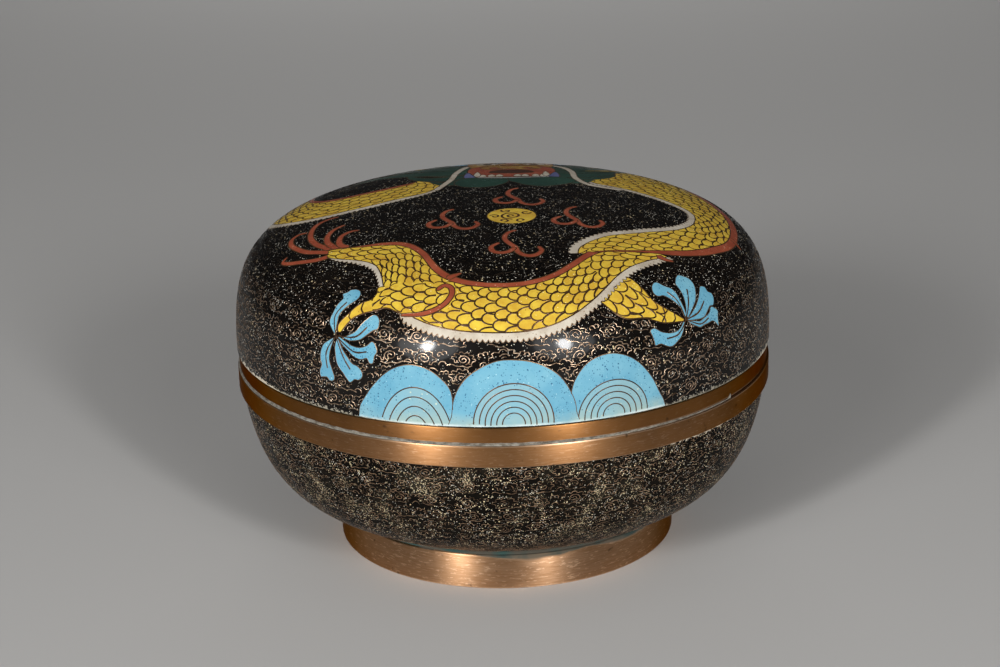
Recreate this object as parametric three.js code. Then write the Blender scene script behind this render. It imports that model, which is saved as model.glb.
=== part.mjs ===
// A covered cloisonne box: a copper bowl on a ring foot and a domed lid that lifts off, both
// enamelled inside and out, with a plain copper band round each rim.
// Millimetres, +Z up. The origin is on the table, under the centre of the foot, and the front of
// the lid's picture faces -Y.

import * as THREE from 'three';

// Driving sizes
const TURN_SIDES = 64;           // sides of every turned piece
const HAIRLINE = 0.3;            // left between pieces that touch

const FOOT_RADIUS = 63.8;        // outside of the ring foot, at the table
const FOOT_TAPER = 0.3;          // how much narrower it is at its top
const FOOT_HEIGHT = 13.0;
const FOOT_WALL = 2.4;
const FOOT_EASE = 0.5;           // rounding of its lower edges

const BOWL_TOP = 61.9;           // where the bowl's enamel meets its copper band
const BOWL_TOP_RADIUS = 98.6;
const BOWL_WALL = 2.4;           // copper sheet with enamel on both faces
const BOWL_SEAT_RISE = 1.6;      // upright strip just above the foot
const BOWL_BASE_SAG = 2.2;       // how far the base dips inside the foot
const BELLY_LOW = [13.5, 6.4];   // handle of the bowl's curve as it leaves the foot
const BELLY_HIGH = [-4.9, -38];  // handle of the same curve below the rim

const BAND_RADIUS = 100.0;       // outside of the bowl's copper band
const BAND_BOTTOM = 62.2;
const LEDGE_HEIGHT = 70.1;       // top of that band, which the lid stands on
const BAND_EASE = 0.4;
const LIP_RADIUS = 96.2;         // the inner lip that keeps the lid centred
const LIP_WALL = 1.6;
const LIP_HEIGHT = 75.6;

const LID_BAND_RADIUS = 99.3;    // outside of the lid's copper band
const LID_BAND_TOP = 76.4;
const LID_BAND_WALL = 2.4;

const LID_RADIUS = 100.0;
const LID_TOP = 129.0;
const LID_WALL = 2.4;
const LID_TURN_IN = 0.5;         // the enamel's edge draws in to meet the band
const CROWN_REACH = 0.94;        // how far out the dome stays level, as a share of its radius
const SIDE_REACH = 0.76;         // how far up the dome stays upright, as a share of its height

const copper = new THREE.MeshStandardMaterial({ color: '#8a5a34', roughness: 0.38, metalness: 1 });
const blackEnamel = new THREE.MeshStandardMaterial({ color: '#15110f', roughness: 0.16, metalness: 0 });

// A point on a turned piece's profile: distance from the axis, then height.
const at = (radius, height) => new THREE.Vector2(radius, height);

// Points at even steps along the curve from start to end, shaped by its two handles.
function sweep(start, startHandle, endHandle, end, steps) {
  return new THREE.CubicBezierCurve(start, startHandle, endHandle, end).getSpacedPoints(steps);
}

// One turned piece. The profile runs anticlockwise in (radius, height), so its faces point outwards.
function turned(name, profile, material) {
  const mesh = new THREE.Mesh(new THREE.LatheGeometry(profile, TURN_SIDES), material);
  mesh.geometry.rotateX(Math.PI / 2);
  mesh.name = name;
  return mesh;
}

// A ring's profile repeats its first point, so the turned surface closes on itself.
const ring = (points) => [...points, points[0]];

// The foot is a plain hoop of copper, soldered under the bowl.
function footRing() {
  const topRadius = FOOT_RADIUS - FOOT_TAPER;
  return turned('foot_ring', ring([
    at(FOOT_RADIUS - FOOT_WALL + FOOT_EASE, 0),
    at(FOOT_RADIUS - FOOT_EASE, 0),
    at(FOOT_RADIUS, FOOT_EASE),
    at(topRadius, FOOT_HEIGHT),
    at(topRadius - FOOT_WALL, FOOT_HEIGHT),
    at(FOOT_RADIUS - FOOT_WALL, FOOT_EASE),
  ]), copper);
}

// The bowl is one raised sheet: a low base inside the foot, a wide shallow turn and an upright side.
function bowl() {
  const seatRadius = FOOT_RADIUS - FOOT_TAPER - HAIRLINE;
  const seat = FOOT_HEIGHT + HAIRLINE;
  const innerFoot = FOOT_RADIUS - FOOT_WALL - FOOT_TAPER;
  const baseHeight = seat - BOWL_BASE_SAG;
  const start = at(seatRadius + HAIRLINE, seat + BOWL_SEAT_RISE);
  const rim = at(BOWL_TOP_RADIUS, BOWL_TOP);
  const outside = sweep(
    start,
    at(start.x + BELLY_LOW[0], start.y + BELLY_LOW[1]),
    at(rim.x + BELLY_HIGH[0], rim.y + BELLY_HIGH[1]),
    rim,
    11,
  );
  const innerRim = at(rim.x - BOWL_WALL, rim.y);
  const innerStart = at(start.x - BOWL_WALL / 2, start.y + BOWL_WALL / 2);
  const inside = sweep(
    innerRim,
    at(innerRim.x + BELLY_HIGH[0], innerRim.y + BELLY_HIGH[1] + BOWL_WALL),
    at(innerStart.x + BELLY_LOW[0], innerStart.y + BELLY_LOW[1]),
    innerStart,
    9,
  );
  return turned('bowl', [
    at(0, baseHeight),
    at(innerFoot * 0.6, baseHeight + BOWL_BASE_SAG * 0.2),
    at(innerFoot - 1, seat),
    at(seatRadius, seat),
    ...outside,
    ...inside,
    at(innerFoot * 0.6, baseHeight + BOWL_BASE_SAG * 0.2 + BOWL_WALL),
    at(0, baseHeight + BOWL_WALL),
  ], blackEnamel);
}

// The bowl's band carries the lid on its ledge, and its inner lip stands up inside the lid.
function bowlRim() {
  return turned('bowl_rim', ring([
    at(LIP_RADIUS - LIP_WALL, BAND_BOTTOM),
    at(BAND_RADIUS - BAND_EASE, BAND_BOTTOM),
    at(BAND_RADIUS, BAND_BOTTOM + BAND_EASE),
    at(BAND_RADIUS, LEDGE_HEIGHT - BAND_EASE),
    at(BAND_RADIUS - BAND_EASE, LEDGE_HEIGHT),
    at(LIP_RADIUS, LEDGE_HEIGHT),
    at(LIP_RADIUS, LIP_HEIGHT),
    at(LIP_RADIUS - LIP_WALL, LIP_HEIGHT),
  ]), copper);
}

// The lid's band drops over the lip and stands on the ledge.
function lidRim() {
  const bottom = LEDGE_HEIGHT + HAIRLINE;
  return turned('lid_rim', ring([
    at(LID_BAND_RADIUS - LID_BAND_WALL, bottom),
    at(LID_BAND_RADIUS - BAND_EASE, bottom),
    at(LID_BAND_RADIUS, bottom + BAND_EASE),
    at(LID_BAND_RADIUS, LID_BAND_TOP),
    at(LID_BAND_RADIUS - LID_BAND_WALL, LID_BAND_TOP),
  ]), copper);
}

// Half the outline of a dome, from its edge up to its crown.
function dome(radius, bottom, top, steps) {
  const rise = top - bottom;
  return sweep(
    at(radius, bottom),
    at(radius, bottom + rise * SIDE_REACH),
    at(radius * CROWN_REACH, top),
    at(0, top),
    steps,
  );
}

// The lid is a deep dome with an upright side and an almost level crown, hollow underneath.
function lid() {
  const bottom = LID_BAND_TOP + HAIRLINE;
  const outside = dome(LID_RADIUS, bottom + LID_TURN_IN, LID_TOP, 14);
  const inside = dome(LID_RADIUS - LID_WALL, bottom, LID_TOP - LID_WALL, 10).reverse();
  return turned('lid', [
    ...inside,
    at(LID_RADIUS - LID_TURN_IN, bottom),
    ...outside,
  ], blackEnamel);
}

const box = new THREE.Group();
box.add(footRing(), bowl(), bowlRim(), lidRim(), lid());

export default box;
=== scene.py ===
import math
import random

import bpy
import numpy as np
from mathutils import Matrix, Vector
from mathutils.geometry import delaunay_2d_cdt


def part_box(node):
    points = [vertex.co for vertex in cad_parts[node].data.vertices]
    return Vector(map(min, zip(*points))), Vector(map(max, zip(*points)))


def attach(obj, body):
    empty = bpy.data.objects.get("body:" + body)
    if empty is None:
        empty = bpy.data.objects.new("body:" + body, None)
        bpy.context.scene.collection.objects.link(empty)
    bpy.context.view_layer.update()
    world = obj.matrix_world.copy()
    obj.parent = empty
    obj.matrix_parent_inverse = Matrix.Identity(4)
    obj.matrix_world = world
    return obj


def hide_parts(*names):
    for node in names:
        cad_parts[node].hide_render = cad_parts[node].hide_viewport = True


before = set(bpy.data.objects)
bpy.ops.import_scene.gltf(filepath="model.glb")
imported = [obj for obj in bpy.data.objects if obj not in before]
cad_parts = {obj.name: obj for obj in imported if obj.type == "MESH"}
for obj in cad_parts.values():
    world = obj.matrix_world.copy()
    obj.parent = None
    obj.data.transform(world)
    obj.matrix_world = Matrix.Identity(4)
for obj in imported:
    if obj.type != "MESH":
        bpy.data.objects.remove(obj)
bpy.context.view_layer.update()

# --- Camera, light and table ---------------------------------------------------------------------
# The box is seen a little from above, from its front, through a long lens. A small lamp in a soft
# glow stands either side of the camera, at its own height. Wide weak ones fill in from above and
# from behind, and the table is plain pale paper.

EYE = (0.0, -0.8439, 0.368)      # metres
LOOK_DOWN = 0.3331               # radians
LOOK_SIDE = 0.0013
CAMERA_ROLL = -0.0232
LENS_MM = 85.0
SENSOR_MM = 36.0

bpy.ops.object.camera_add(location=EYE)
camera = bpy.context.object
camera.name = "camera"
camera.matrix_world = (
    Matrix.Translation(EYE)
    @ Matrix.Rotation(LOOK_SIDE, 4, "Z")
    @ Matrix.Rotation(math.pi / 2 - LOOK_DOWN, 4, "X")
    @ Matrix.Rotation(CAMERA_ROLL, 4, "Z")
)
camera.data.lens = LENS_MM
camera.data.sensor_width = SENSOR_MM
bpy.context.scene.camera = camera
bpy.context.scene.view_settings.view_transform = "Standard"

LIT_POINT = Vector((0.0, 0.0, 0.07))
LAMP_DISTANCE = 2.2
LAMP_SIZE = (0.2, 0.5)
GLOW_DISTANCE = 2.23
GLOW_SIZE = (0.95, 1.3)
FILL_DISTANCE = 1.7
FILL_SIZE = (1.1, 1.1)
WORLD_GREY = (0.62, 0.64, 0.68, 1)
WORLD_STRENGTH = 0.06
TABLE_SIZE = 8
TABLE_GREY = (0.52, 0.51, 0.495, 1)


def add_lamp(name, azimuth, elevation, distance, size, power):
    """A flat lamp aimed at the box. Azimuth 0 is in front of it, and grows to the right."""
    turn, rise = math.radians(azimuth), math.radians(elevation)
    way = Vector((math.sin(turn) * math.cos(rise), -math.cos(turn) * math.cos(rise), math.sin(rise)))
    bpy.ops.object.light_add(type="AREA", location=LIT_POINT + way * distance)
    lamp = bpy.context.object
    lamp.name = name
    lamp.rotation_euler = way.to_track_quat("Z", "Y").to_euler()
    lamp.data.shape = "ELLIPSE"
    lamp.data.size, lamp.data.size_y = size
    lamp.data.energy = power


for side, azimuth, elevation, power, glow in (("left", -32, 22, 21, 15), ("right", 26, 23, 17.5, 12.5)):
    add_lamp("lamp_" + side, azimuth, elevation, LAMP_DISTANCE, LAMP_SIZE, power)
    add_lamp("glow_" + side, azimuth, elevation, GLOW_DISTANCE, GLOW_SIZE, glow)
for side, azimuth, elevation, power in (("top", 0, 74, 1.2), ("back", 180, 16, 4.5)):
    add_lamp("lamp_" + side, azimuth, elevation, FILL_DISTANCE, FILL_SIZE, power)
    bpy.context.object.visible_glossy = False

world = bpy.context.scene.world or bpy.data.worlds.new("world")
bpy.context.scene.world = world
world.use_nodes = True
background = world.node_tree.nodes["Background"]
background.inputs["Color"].default_value = WORLD_GREY
background.inputs["Strength"].default_value = WORLD_STRENGTH

bpy.ops.mesh.primitive_plane_add(size=TABLE_SIZE)
table = bpy.context.object
table.name = "table"
paper = bpy.data.materials.new("table_paper")
paper.use_nodes = True
paper_shader = paper.node_tree.nodes["Principled BSDF"]
paper_shader.inputs["Base Color"].default_value = TABLE_GREY
paper_shader.inputs["Roughness"].default_value = 0.8
table.data.materials.append(paper)

# --- The foot ------------------------------------------------------------------------------------
# A hoop of brown copper strip, bent round, butted and soldered under the bowl. It is scratched
# round and round by the cloth and grit it was polished with.

MM = 0.001
TURN_STEPS = 256
CORNER_STEPS = 3


def turned(name, section):
    """A closed section of (radius, height) in mm, spun round the box's axis into one shell."""
    bpy.ops.object.select_all(action="DESELECT")
    bpy.ops.mesh.primitive_circle_add(vertices=len(section), radius=1, fill_type="NOTHING")
    piece = bpy.context.object
    piece.name = name
    piece.data.name = name
    for vertex, (radius, height) in zip(piece.data.vertices, section):
        vertex.co = (radius * MM, 0, height * MM)
    bpy.ops.object.mode_set(mode="EDIT")
    bpy.ops.mesh.select_all(action="SELECT")
    bpy.ops.mesh.spin(steps=TURN_STEPS, angle=2 * math.pi, center=(0, 0, 0), axis=(0, 0, 1))
    bpy.ops.mesh.select_all(action="SELECT")
    bpy.ops.mesh.remove_doubles(threshold=1e-6)
    bpy.ops.mesh.dissolve_degenerate(threshold=1e-7)
    bpy.ops.mesh.select_all(action="SELECT")
    bpy.ops.mesh.delete_loose(use_verts=True, use_edges=True, use_faces=False)
    bpy.ops.mesh.select_all(action="SELECT")
    bpy.ops.mesh.normals_make_consistent(inside=False)
    bpy.ops.object.mode_set(mode="OBJECT")
    return piece


def smooth_by_angle(piece, degrees=35):
    """Shade the piece smooth, apart from edges sharper than that."""
    bpy.ops.object.select_all(action="DESELECT")
    piece.select_set(True)
    bpy.context.view_layer.objects.active = piece
    bpy.ops.object.shade_smooth_by_angle(angle=math.radians(degrees))


def rounded(section, radius, corners):
    """The section with the corners of the given numbers cut back to arcs of about that radius."""
    out = []
    count = len(section)
    for i, point in enumerate(section):
        if i not in corners:
            out.append(point)
            continue
        here = Vector(point)
        before = Vector(section[i - 1]) - here
        after = Vector(section[(i + 1) % count]) - here
        start = here + before.normalized() * min(radius, before.length / 2)
        end = here + after.normalized() * min(radius, after.length / 2)
        for k in range(CORNER_STEPS + 1):
            t = k / CORNER_STEPS
            out.append(tuple(start * (1 - t) ** 2 + here * 2 * t * (1 - t) + end * t * t))
    return out


class Finish:
    """A material's node tree, built up one named node at a time."""

    def __init__(self, name):
        self.material = bpy.data.materials.new(name)
        self.material.use_nodes = True
        self.tree = self.material.node_tree
        self.shader = self.tree.nodes["Principled BSDF"]
        self.place = self.tree.nodes.new("ShaderNodeTexCoord").outputs["Object"]

    def node(self, kind, inputs=None, **settings):
        """A new node, with its settings made and its inputs given values or linked."""
        node = self.tree.nodes.new(kind)
        for key, value in settings.items():
            setattr(node, key, value)
        for key, value in (inputs or {}).items():
            self.put(node.inputs[key], value)
        return node

    def put(self, socket, value):
        if isinstance(value, bpy.types.NodeSocket):
            self.tree.links.new(value, socket)
        else:
            socket.default_value = value

    def stretched(self, scale):
        """Places for a grain drawn out along the axes of lower scale."""
        return self.node("ShaderNodeMapping", {"Vector": self.place, "Scale": scale}).outputs["Vector"]

    def noise(self, scale, detail=3.0, rough=0.55, vector=None):
        inputs = {"Vector": vector or self.place, "Scale": scale, "Detail": detail, "Roughness": rough}
        return self.node("ShaderNodeTexNoise", inputs).outputs["Fac"]

    def cells(self, scale):
        return self.node("ShaderNodeTexVoronoi", {"Vector": self.place, "Scale": scale})

    def ramp(self, value, low, high, start=0.0, end=1.0):
        """Start where the value is low, end where it is high, and even between."""
        inputs = {"Value": value, "From Min": low, "From Max": high, "To Min": start, "To Max": end}
        return self.node("ShaderNodeMapRange", inputs).outputs["Result"]

    def patchy(self, scale, low, high, start=0.0, end=1.0, detail=3.0, rough=0.55):
        """Patches of noise, ramped from start to end."""
        return self.ramp(self.noise(scale, detail, rough), low, high, start, end)

    def math(self, operation, first, second=0.0):
        node = self.node("ShaderNodeMath", operation=operation)
        self.put(node.inputs[0], first)
        self.put(node.inputs[1], second)
        return node.outputs["Value"]

    def mix(self, share, first, second):
        node = self.node("ShaderNodeMix", data_type="RGBA")
        self.put(node.inputs["Factor"], share)
        self.put(node.inputs["A"], first)
        self.put(node.inputs["B"], second)
        return node.outputs["Result"]

    def height(self):
        """How high up the box, in metres."""
        return self.node("ShaderNodeSeparateXYZ", {"Vector": self.place}).outputs["Z"]

    def bump(self, height, distance, strength=1.0):
        inputs = {"Height": height, "Distance": distance, "Strength": strength}
        self.put(self.shader.inputs["Normal"], self.node("ShaderNodeBump", inputs).outputs["Normal"])

    def set(self, **inputs):
        """Give the shader's own inputs values, or link them."""
        for key, value in inputs.items():
            self.put(self.shader.inputs[key.replace("_", " ")], value)


SECTOR_FADE = 8


def sector(finish, middle, half):
    """Full strength within that many degrees of the azimuth, fading out a little beyond."""
    x, y, _ = finish.node("ShaderNodeSeparateXYZ", {"Vector": finish.place}).outputs
    azimuth = finish.math("ARCTAN2", x, finish.math("MULTIPLY", y, -1.0))
    off = finish.math("ABSOLUTE", finish.math("SUBTRACT", azimuth, math.radians(middle)))
    return finish.ramp(off, math.radians(half + SECTOR_FADE), math.radians(half))


def fringe(finish, line, depth, sectors, ragged=420.0, crumbs=5.0, crisp=0.9):
    """A ragged edge of wear, up to depth mm from the height line, in sectors of (middle, half) degrees."""
    share = 0.0
    for middle, half in sectors:
        share = finish.math("MAXIMUM", share, sector(finish, middle, half))
    bite = finish.patchy(ragged, 0.4, 0.66, 0.0, depth * MM, crumbs, 0.7)
    reach = finish.math("MULTIPLY", bite, share)
    off = finish.math("ABSOLUTE", finish.math("SUBTRACT", finish.height(), line * MM))
    return finish.ramp(off, reach, finish.math("MULTIPLY", reach, crisp))


COPPER_BROWN = (0.33, 0.14, 0.037, 1)
COPPER_DARK = (0.21, 0.085, 0.022, 1)
COPPER_BRIGHT = (0.80, 0.53, 0.34, 1)
COPPER_EDGE = (0.42, 0.24, 0.10, 1)
COPPER_SPOT = (0.07, 0.04, 0.025, 1)
GRIME_GREY = (0.12, 0.10, 0.075, 1)
GRIME_GREEN = (0.04, 0.062, 0.056, 1)
SCRATCH_GRAIN = (150, 150, 2600)
NICK_GRAIN = (330, 330, 1700)
WEAR_WIDTH = 0.45
WEAR_FULL = 0.1


def copper(name, bright_edges, polish, residue=None):
    """Brown copper with scratches round the piece, rubbed bright at the heights given in mm.

    Grey-green enamel and solder may have run down from an edge: (height, depth, sectors).
    """
    finish = Finish(name)
    around = finish.noise(1.0, 4.0, 0.6, finish.stretched(SCRATCH_GRAIN))
    base = finish.mix(finish.patchy(42.0, 0.42, 0.75, detail=4.0), COPPER_BROWN, COPPER_DARK)
    rub = finish.patchy(9.0, 0.35, 0.65, 0.35, 1.0, detail=2.0)
    height = finish.height()
    worn = 0.0
    for edge in bright_edges:
        distance = finish.math("ABSOLUTE", finish.math("SUBTRACT", height, edge * MM))
        worn = finish.math("MAXIMUM", worn, finish.ramp(distance, WEAR_WIDTH * MM, WEAR_FULL * MM))
    scratched = finish.ramp(around, 0.3, 0.72, polish * 0.45, polish)
    nick_grain = finish.noise(1.0, 3.0, 0.6, finish.stretched(NICK_GRAIN))
    nicks = finish.ramp(nick_grain, 0.55, 0.64, 0.0, polish * 1.7)
    rubbed = finish.math("MULTIPLY", worn, rub)
    shine = finish.math("MAXIMUM", rubbed, finish.math("MAXIMUM", scratched, nicks))
    spots = finish.patchy(260.0, 0.68, 0.76, 0.0, 0.6, detail=2.0)
    colour = finish.mix(shine, base, COPPER_BRIGHT)
    colour = finish.mix(spots, colour, COPPER_SPOT)
    metal = 1.0
    if residue:
        run_over = fringe(finish, *residue, ragged=30.0, crumbs=2.0, crisp=0.5)
        grime = finish.mix(finish.patchy(110.0, 0.4, 0.62, detail=4.0), GRIME_GREY, GRIME_GREEN)
        colour = finish.mix(run_over, colour, grime)
        metal = finish.math("SUBTRACT", 1.0, run_over)
    rough = finish.ramp(around, 0.3, 0.7, 0.34, 0.44)
    round_way = finish.node("ShaderNodeTangent", direction_type="RADIAL", axis="Z").outputs["Tangent"]
    finish.set(Base_Color=colour, Roughness=rough, Metallic=metal)
    finish.set(Anisotropic=0.88, Anisotropic_Rotation=0.25, Tangent=round_way, Specular_Tint=COPPER_EDGE)
    finish.bump(around, 0.00001, 0.4)
    return finish.material


def dress(piece, material, node):
    """The piece gets its finish, moves with the box and stands for the plain solid."""
    piece.data.materials.clear()
    piece.data.materials.append(material)
    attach(piece, "root")
    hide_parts(node)


FOOT_WALL = 2.4
FOOT_TAPER = 0.3
FOOT_EASE = 0.5
FOOT_POLISH = 0.52
FOOT_WORN = 0.3
FOOT_RUNS = [(-3, 20), (38, 14)]

foot_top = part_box("foot_ring")[1].z / MM
foot_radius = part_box("foot_ring")[1].x / MM
foot_section = rounded(
    [
        (foot_radius - FOOT_WALL, 0.0),
        (foot_radius, 0.0),
        (foot_radius - FOOT_TAPER * 0.5, foot_top * 0.5),
        (foot_radius - FOOT_TAPER, foot_top),
        (foot_radius - FOOT_TAPER - FOOT_WALL, foot_top),
    ],
    FOOT_EASE,
    (0, 1, 3, 4),
)
foot = turned("foot", foot_section)
smooth_by_angle(foot)
foot_copper = copper("foot_copper", [FOOT_WORN], FOOT_POLISH, (foot_top, 3.0, FOOT_RUNS))
dress(foot, foot_copper, "foot_ring")

# --- The rim bands -------------------------------------------------------------------------------
# Both rims are bound with copper strip. The bowl's band has a ledge that the lid stands on and an
# inner lip that keeps the lid centred, and the lid's plain band drops over that lip.

BAND_EASE = 0.4
LIP_RADIUS = 96.2
LIP_WALL = 1.6
LEDGE_HEIGHT = 70.1
LID_BAND_WALL = 2.4
BOWL_BAND_POLISH = 0.22
LID_BAND_POLISH = 0.08
EDGE_WORN = 0.3

band_low, band_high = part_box("bowl_rim")
band_radius = band_high.x / MM
band_bottom = band_low.z / MM
lip_top = band_high.z / MM
bowl_band = turned("bowl_band", rounded(
    [
        (LIP_RADIUS - LIP_WALL, band_bottom),
        (band_radius, band_bottom),
        (band_radius, LEDGE_HEIGHT),
        (LIP_RADIUS, LEDGE_HEIGHT),
        (LIP_RADIUS, lip_top),
        (LIP_RADIUS - LIP_WALL, lip_top),
    ],
    BAND_EASE,
    (1, 2, 4, 5),
))
smooth_by_angle(bowl_band)
bowl_band_copper = copper("bowl_band_copper", [band_bottom, LEDGE_HEIGHT - EDGE_WORN], BOWL_BAND_POLISH)
dress(bowl_band, bowl_band_copper, "bowl_rim")

lid_band_low, lid_band_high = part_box("lid_rim")
lid_band_radius = lid_band_high.x / MM
lid_band_bottom = lid_band_low.z / MM
lid_band_top = lid_band_high.z / MM
lid_band = turned("lid_band", rounded(
    [
        (lid_band_radius - LID_BAND_WALL, lid_band_bottom),
        (lid_band_radius, lid_band_bottom),
        (lid_band_radius, lid_band_top),
        (lid_band_radius - LID_BAND_WALL, lid_band_top),
    ],
    BAND_EASE,
    (1, 2),
))
smooth_by_angle(lid_band)
lid_band_copper = copper("lid_band_copper", [lid_band_bottom + EDGE_WORN], LID_BAND_POLISH)
dress(lid_band, lid_band_copper, "lid_rim")

# --- The filler on the ledge ---------------------------------------------------------------------
# A fillet of grey solder lies on the bowl band's ledge, just outside the lid's band. It runs from
# the left side round the front, thins out toward the right and ends there at a small butt joint.

FILLER_MARKS = (-105, -97, 12, 54)
FILLER_SHARES = (0.15, 1.0, 1.0, 0.35)
FILLER_DEPTH = 0.5
FILLER_HEIGHT = 0.95
BUTT_HEIGHT = 1.7
FILLER_GAP = 0.02
SOLDER_GREY = (0.36, 0.34, 0.29, 1)
SOLDER_GRAIN = (420, 420, 1400)


def meshed(name, points, faces):
    """A piece made from corners in mm and the faces between them."""
    mesh = bpy.data.meshes.new(name)
    mesh.from_pydata((np.array(points) * MM).tolist(), [], faces)
    piece = bpy.data.objects.new(name, mesh)
    bpy.context.collection.objects.link(piece)
    return piece


filler_dice = random.Random(3)
filler_points, filler_faces = [], []
bearings = np.arange(FILLER_MARKS[0], FILLER_MARKS[-1] + 0.5, 1.0)
for bearing in bearings:
    thin = np.interp(bearing, FILLER_MARKS, FILLER_SHARES)
    at_butt = bearing > FILLER_MARKS[-1] - 1
    tall = BUTT_HEIGHT if at_butt else FILLER_HEIGHT * thin * filler_dice.uniform(0.86, 1.1)
    near = lid_band_radius + FILLER_GAP
    far = near + FILLER_DEPTH * thin
    floor = LEDGE_HEIGHT - FILLER_GAP
    turn = math.radians(bearing)
    for radius, height in ((near, floor), (far, floor), (far, floor + tall * 0.6), (near, floor + tall)):
        filler_points.append((radius * math.sin(turn), -radius * math.cos(turn), height))
for k in range(len(bearings) - 1):
    for side in range(4):
        a, b = 4 * k + side, 4 * k + (side + 1) % 4
        filler_faces.append((a, a + 4, b + 4, b))
last = 4 * (len(bearings) - 1)
filler_faces += [(0, 1, 2, 3), (last + 3, last + 2, last + 1, last)]
filler = meshed("ledge_filler", filler_points, filler_faces)
smooth_by_angle(filler)
solder = Finish("grey_solder")
stained = solder.ramp(solder.noise(1.0, 5.0, 0.7, solder.stretched(SOLDER_GRAIN)), 0.4, 0.62)
solder.set(Base_Color=solder.mix(stained, SOLDER_GREY, GRIME_GREY), Roughness=0.42, Metallic=0.35)
filler.data.materials.append(solder.material)
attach(filler, "root")

# --- The bowl ------------------------------------------------------------------------------------
# A bowl raised from copper sheet and enamelled on both faces: black ground full of wire clouds
# outside, plain turquoise inside and underneath. It is soldered to the foot and the rim band.

BOWL_WALL = 2.4
BOWL_BASE_SAG = 2.2
SEAT_RISE = 1.6
HAIRLINE = 0.3
BELLY_LOW = (13.5, 6.4)
BELLY_HIGH = (-4.9, -38.0)
PROFILE_STEPS = 44
ENAMEL_ANGLE = 50


def bezier(start, start_handle, end_handle, end, steps):
    """Points along the curve from start to end that its two handles shape."""
    t = np.linspace(0, 1, steps + 1)[:, None]
    parts = [np.array(p, float) for p in (start, start_handle, end_handle, end)]
    weights = ((1 - t) ** 3, 3 * t * (1 - t) ** 2, 3 * t * t * (1 - t), t ** 3)
    return sum(w * p for w, p in zip(weights, parts))


def lengths(line):
    """How far along the line each of its points is."""
    return np.concatenate([[0], np.cumsum(np.linalg.norm(np.diff(line, axis=0), axis=1))])


class Skin:
    """A turned surface that wires and fields lie on: a place is a distance along it and an angle."""

    def __init__(self, profile):
        self.profile = profile
        self.run = lengths(profile)
        self.length = self.run[-1]
        slope = np.gradient(profile, self.run, axis=0)
        self.normal = np.stack([-slope[:, 1], slope[:, 0]], 1)
        if self.normal[:, 0].sum() < 0:
            self.normal = -self.normal

    def radius(self, along):
        return np.interp(along, self.run, self.profile[:, 0])

    def lay(self, along, angle):
        """Points and outward normals in mm."""
        values = [np.interp(along, self.run, column) for column in (*self.profile.T, *self.normal.T)]
        radius, height, out, up = values
        size = np.hypot(out, up)
        points = np.stack([radius * np.cos(angle), radius * np.sin(angle), height], 1)
        normals = np.stack([out * np.cos(angle), out * np.sin(angle), up], 1) / size[:, None]
        return points, normals


bowl_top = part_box("bowl")[1]
rim = np.array([bowl_top.x / MM, bowl_top.z / MM])
seat = foot_top + HAIRLINE
start = np.array([foot_radius - FOOT_TAPER, seat + SEAT_RISE])
bowl_skin = Skin(bezier(start, start + BELLY_LOW, rim + BELLY_HIGH, rim, PROFILE_STEPS)[::-1])
inner_rim = rim - (BOWL_WALL, 0)
inner_start = start + (-BOWL_WALL / 2, BOWL_WALL / 2)
inner_handle = inner_rim + BELLY_HIGH + (0, BOWL_WALL)
bowl_inside = bezier(inner_rim, inner_handle, inner_start + BELLY_LOW, inner_start, PROFILE_STEPS // 2)
base = seat - BOWL_BASE_SAG
base_mid = ((foot_radius - FOOT_WALL - FOOT_TAPER) * 0.6, base + BOWL_BASE_SAG * 0.2)
bowl_section = [
    (0, base), base_mid, (foot_radius - FOOT_WALL - FOOT_TAPER - 1, seat), (start[0] - HAIRLINE, seat),
    *map(tuple, bowl_skin.profile[::-1]),
    *map(tuple, bowl_inside),
    (base_mid[0], base_mid[1] + BOWL_WALL), (0, base + BOWL_WALL),
]


class Enamel(Finish):
    """Glass enamel: a clouded colour with pinholes and specks, polished a little uneven."""

    def __init__(self, name, colour, deep, specks=(), mottle=55.0, rough=0.3):
        super().__init__(name)
        shade = self.patchy(mottle, 0.34, 0.68, detail=4.0, rough=0.6)
        tone = self.mix(shade, (*deep, 1), (*colour, 1))
        for speck_colour, scale, share in specks:
            cell = self.cells(scale)
            lucky = self.ramp(cell.outputs["Color"], 0.45, 0.8, 0.0, share)
            crowd = self.patchy(scale * 0.1, 0.35, 0.6, 0.35, 1.0, detail=2.0)
            dot = self.math("LESS_THAN", cell.outputs["Distance"], self.math("MULTIPLY", lucky, crowd))
            tone = self.mix(dot, tone, (*speck_colour, 1))
        self.tone = tone
        self.set(Base_Color=tone, Roughness=self.patchy(120.0, 0.3, 0.7, rough * 0.8, rough * 1.3))
        self.set(Specular_IOR_Level=0.2, Coat_Weight=0.085, Coat_IOR=2.2, Coat_Roughness=0.08)
        self.bump(self.noise(210.0, 3.0, 0.5), 0.00004, 0.5)


BLACK = (0.0018, 0.0015, 0.0013)
BOWL_CLOUDED = (0.009, 0.007, 0.005)
GOLD_SPECK = (0.62, 0.50, 0.30)
PALE_SPECK = (0.75, 0.70, 0.60)
CREAM_SPECK = (0.86, 0.72, 0.46)
BLACK_SPECKS = [(GOLD_SPECK, 800.0, 0.27), (PALE_SPECK, 1100.0, 0.26), (PALE_SPECK, 1600.0, 0.3)]
BOWL_SPECKS = BLACK_SPECKS + [(CREAM_SPECK, 1300.0, 0.34)]
DUST = (0.55, 0.45, 0.28, 1)
HAZE = (0.05, 0.042, 0.028, 1)
EDGE_CREAM = (0.62, 0.55, 0.43, 1)
BOWL_PALE_EDGE_SECTORS = [(58, 20), (-75, 8), (165, 14)]
STRIP_GREY = (0.11, 0.10, 0.08, 1)
STRIP_GREEN = (0.055, 0.105, 0.095, 1)
STRIP_HEIGHT = 0.4
STRIP_RAGGED = 2.6
LINING = (0.10, 0.36, 0.42)
LINING_DEEP = (0.07, 0.29, 0.36)
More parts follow.
